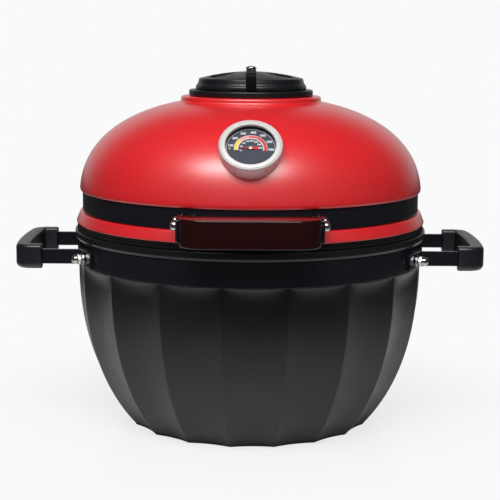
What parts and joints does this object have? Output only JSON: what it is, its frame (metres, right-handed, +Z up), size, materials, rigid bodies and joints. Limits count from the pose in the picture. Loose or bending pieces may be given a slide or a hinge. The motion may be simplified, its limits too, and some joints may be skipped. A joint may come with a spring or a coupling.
{
  "type": "kamado ceramic grill",
  "caption": "Tabletop kamado grill: fluted ceramic bowl and hinged domed lid with steel bands, side handles, dial thermometer and a turning top vent.",
  "frame": {"origin": "centre of the bowl's flat foot, on the surface it stands on", "axes": "+Z up, -Y to the front with the thermometer and lid handle, +X to the viewer's right"},
  "size_m": [0.456, 0.4265, 0.3568],
  "materials": {
    "charcoal_ceramic": "satin charcoal glaze",
    "red_glaze": "glossy red glaze",
    "black_steel": "semi-gloss black powder coat",
    "felt": "pressed black felt",
    "fire_clay": "unglazed fire clay",
    "cast_iron": "black coated casting",
    "bright_steel": "bright steel",
    "chrome": "polished",
    "black_plastic": "satin moulded",
    "dark_lacquer": "glossy dark red-brown lacquer",
    "dial_black": "matte printed dial",
    "clear_glass": "clear",
    "pointer_red": "satin red"
  },
  "bodies": {
    "base": {"base_bowl": "charcoal_ceramic", "base_gasket": "felt", "base_band": "black_steel", "fire_box": "fire_clay", "fire_ring": "fire_clay", "charcoal_grate": "cast_iron", "cooking_grid": "bright_steel", "draft_frame": "bright_steel", "side_strap_left": "black_steel", "side_strap_right": "black_steel", "side_grip_left": "black_plastic", "side_grip_right": "black_plastic", "side_stud_left_front": "bright_steel", "side_stud_left_rear": "bright_steel", "side_stud_right_front": "bright_steel", "side_stud_right_rear": "bright_steel", "side_nut_left_front": "bright_steel", "side_nut_left_rear": "bright_steel", "side_nut_right_front": "bright_steel", "side_nut_right_rear": "bright_steel", "hinge_base_bracket": "black_steel", "hinge_base_bolt_left": "bright_steel", "hinge_base_bolt_right": "bright_steel", "hinge_pin": "bright_steel", "hinge_pin_clip": "bright_steel"},
    "lid": {"lid_dome": "red_glaze", "lid_gasket": "felt", "lid_band": "black_steel", "lid_handle": "dark_lacquer", "lid_handle_lug_left": "black_steel", "lid_handle_lug_right": "black_steel", "lid_handle_screw_left": "bright_steel", "lid_handle_screw_right": "bright_steel", "lug_bolt_left": "bright_steel", "lug_bolt_right": "bright_steel", "lug_nut_left": "bright_steel", "lug_nut_right": "bright_steel", "hinge_lid_bracket": "black_steel", "hinge_lid_bolt_left": "bright_steel", "hinge_lid_bolt_right": "bright_steel", "vent_base": "cast_iron", "vent_cap": "cast_iron", "thermometer_case": "chrome", "thermometer_bezel": "chrome", "thermometer_glass": "clear_glass", "thermometer_dial": "dial_black", "thermometer_stem": "bright_steel", "thermometer_nut": "bright_steel"},
    "damper": {"damper_disc": "cast_iron", "damper_bolt": "bright_steel", "damper_lever": "cast_iron", "damper_nut": "bright_steel"},
    "pointer": {"thermometer_pointer": "pointer_red"},
    "draft_door": {"draft_door": "bright_steel", "draft_door_knob": "black_plastic"}
  },
  "joints": [
    {"name": "lid_hinge", "type": "hinge", "parent": "base", "child": "lid", "pos_m": [0, 0.196, 0.19835], "axis": [-1, 0, 0], "range_deg": [0, 75]},
    {"name": "damper_turn", "type": "hinge", "parent": "lid", "child": "damper", "pos_m": [0, 0, 0.35], "axis": [0, 0, 1], "range_deg": [0, 60]},
    {"name": "pointer_turn", "type": "hinge", "parent": "lid", "child": "pointer", "pos_m": [0, -0.1482, 0.28355], "axis": [0, 0.7193, -0.6947], "range_deg": [0, 180], "stiffness_Nm_per_rad": 0.0005},
    {"name": "draft_slide", "type": "hinge", "parent": "base", "child": "draft_door", "pos_m": [0, 0, 0.04], "axis": [0, 0, -1], "range_deg": [0, 24]}
  ]
}
